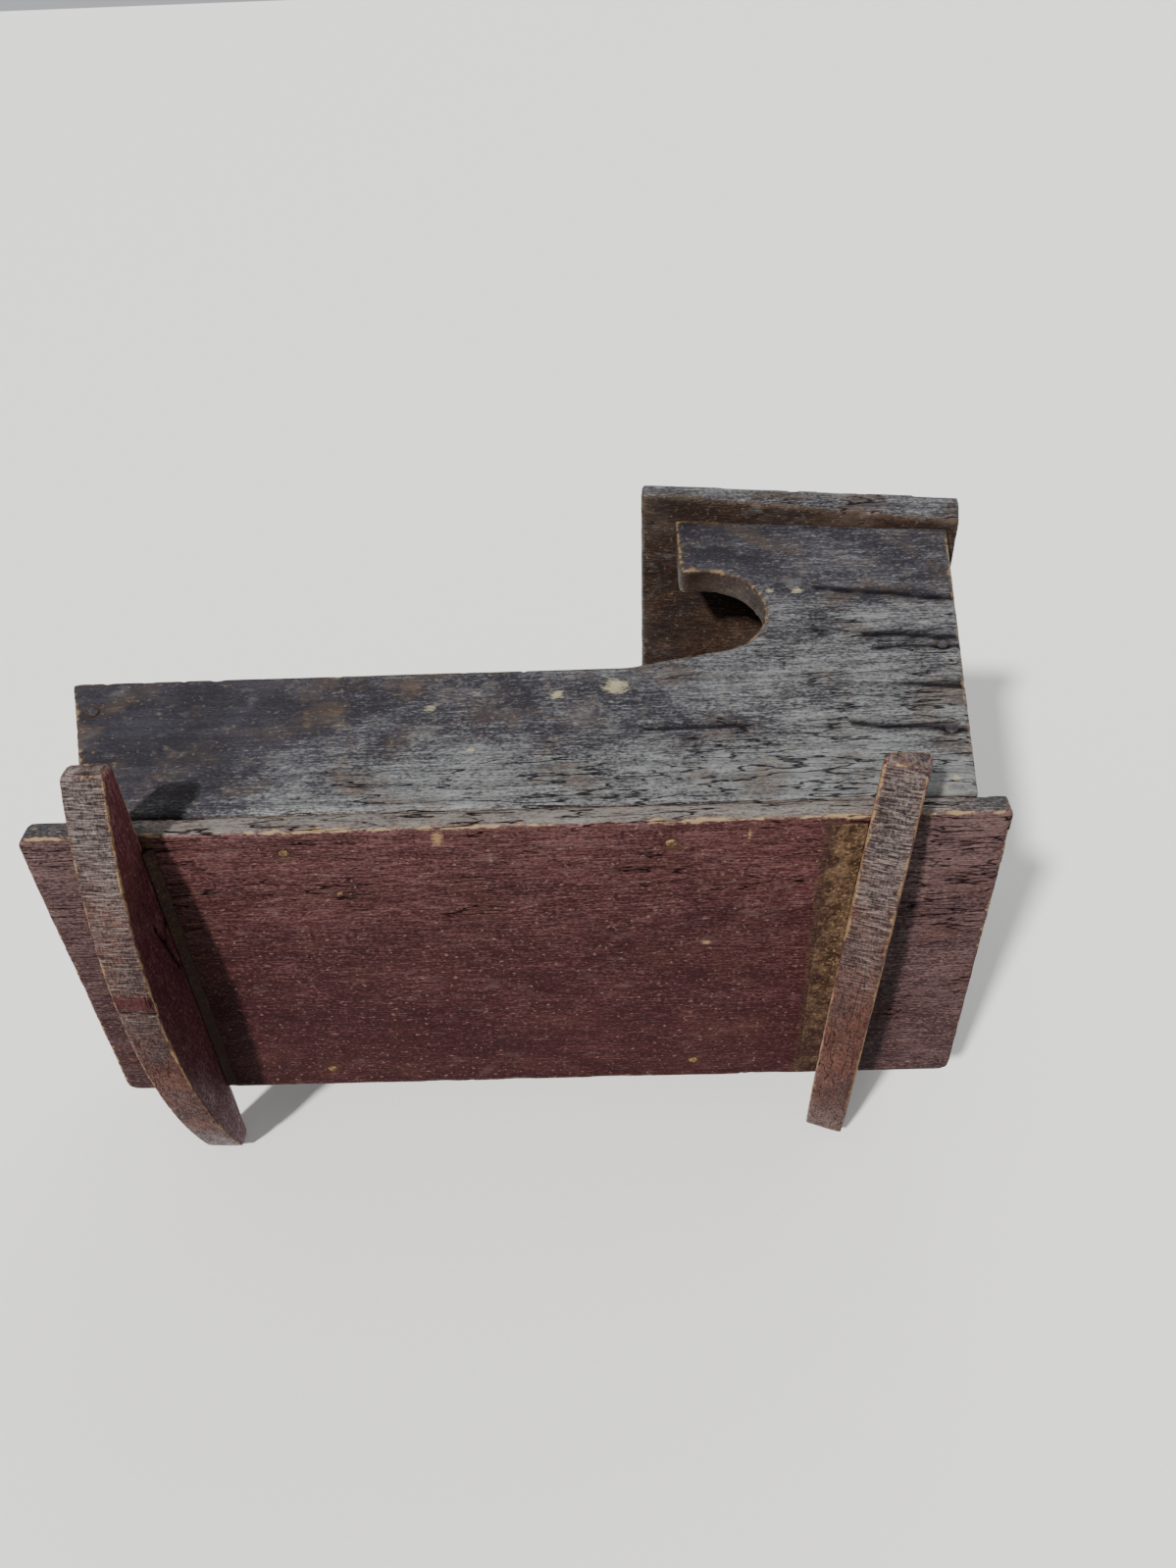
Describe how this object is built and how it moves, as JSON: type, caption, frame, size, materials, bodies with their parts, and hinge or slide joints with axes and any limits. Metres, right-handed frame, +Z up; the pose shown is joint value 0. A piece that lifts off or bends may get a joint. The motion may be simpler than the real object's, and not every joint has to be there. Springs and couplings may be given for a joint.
{
  "type": "doll's cradle",
  "caption": "Small hooded wooden doll's cradle of flared, nailed boards that stands and rocks on curved wooden rockers.",
  "frame": {"origin": "on the floor, under the middle of the cradle's bounding box", "axes": "+X from the foot end to the hooded head end, +Y across to the left side (seen from the foot), +Z up from the floor that the rockers stand on"},
  "size_m": [0.1562, 0.0988, 0.088],
  "materials": {
    "bottom_wood": "old oxblood stain, rubbed, matt",
    "side_wood": "old slate-blue paint worn to dark wood",
    "end_wood": "old slate-blue paint worn to dark wood",
    "roof_wood": "dark brown aged wood, matt",
    "rocker_wood": "saw-marked edge, dark, worn to brown at one end",
    "nail_iron": "rusted",
    "old_glue": "hardened hide glue, dull"
  },
  "bodies": {
    "root": {"bottom_board": "bottom_wood", "side_board_right": "side_wood", "side_board_left": "side_wood", "foot_board": "end_wood", "head_board": "end_wood", "hood_roof": "roof_wood", "foot_rocker": "rocker_wood", "head_rocker": "rocker_wood", "bottom_nails": "nail_iron", "foot_board_nails": "nail_iron", "head_board_nails": "nail_iron", "roof_nails": "nail_iron", "foot_rocker_glue": "old_glue", "head_rocker_glue": "old_glue"}
  },
  "joints": []
}
